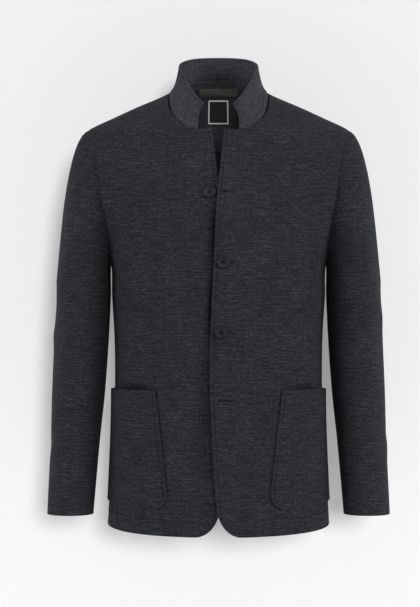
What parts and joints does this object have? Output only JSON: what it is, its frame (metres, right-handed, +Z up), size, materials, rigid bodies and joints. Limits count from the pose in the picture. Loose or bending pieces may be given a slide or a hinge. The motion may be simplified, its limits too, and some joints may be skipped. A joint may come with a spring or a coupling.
{
  "type": "wool blazer",
  "caption": "Single-breasted wool blazer with a stand collar and patch pockets, filled out as if worn and open at neck, hem and cuffs",
  "frame": {"origin": "at the neck level of the shoulders, on the centre plane, where a wearer holds the blazer up", "axes": "+Z up, front faces -Y, wearer's left is +X"},
  "size_m": [0.5728, 0.2593, 0.7994],
  "materials": {
    "wool": "charcoal melange wool with a soft nap",
    "button": "satin",
    "facing": "smooth facing cloth",
    "label_strip": "woven, bare",
    "label_cloth": "woven, bare"
  },
  "bodies": {
    "root": {"front_left": "wool", "front_right": "wool", "side_left": "wool", "side_right": "wool", "back_left": "wool", "back_right": "wool", "upper_sleeve_left": "wool", "upper_sleeve_right": "wool", "under_sleeve_left": "wool", "under_sleeve_right": "wool", "collar": "wool", "pocket_left": "wool", "pocket_right": "wool", "button_1": "button", "button_2": "button", "button_3": "button", "button_4": "button", "back_neck_facing": "facing", "neck_label": "label_strip", "square_label": "label_cloth"}
  },
  "joints": []
}
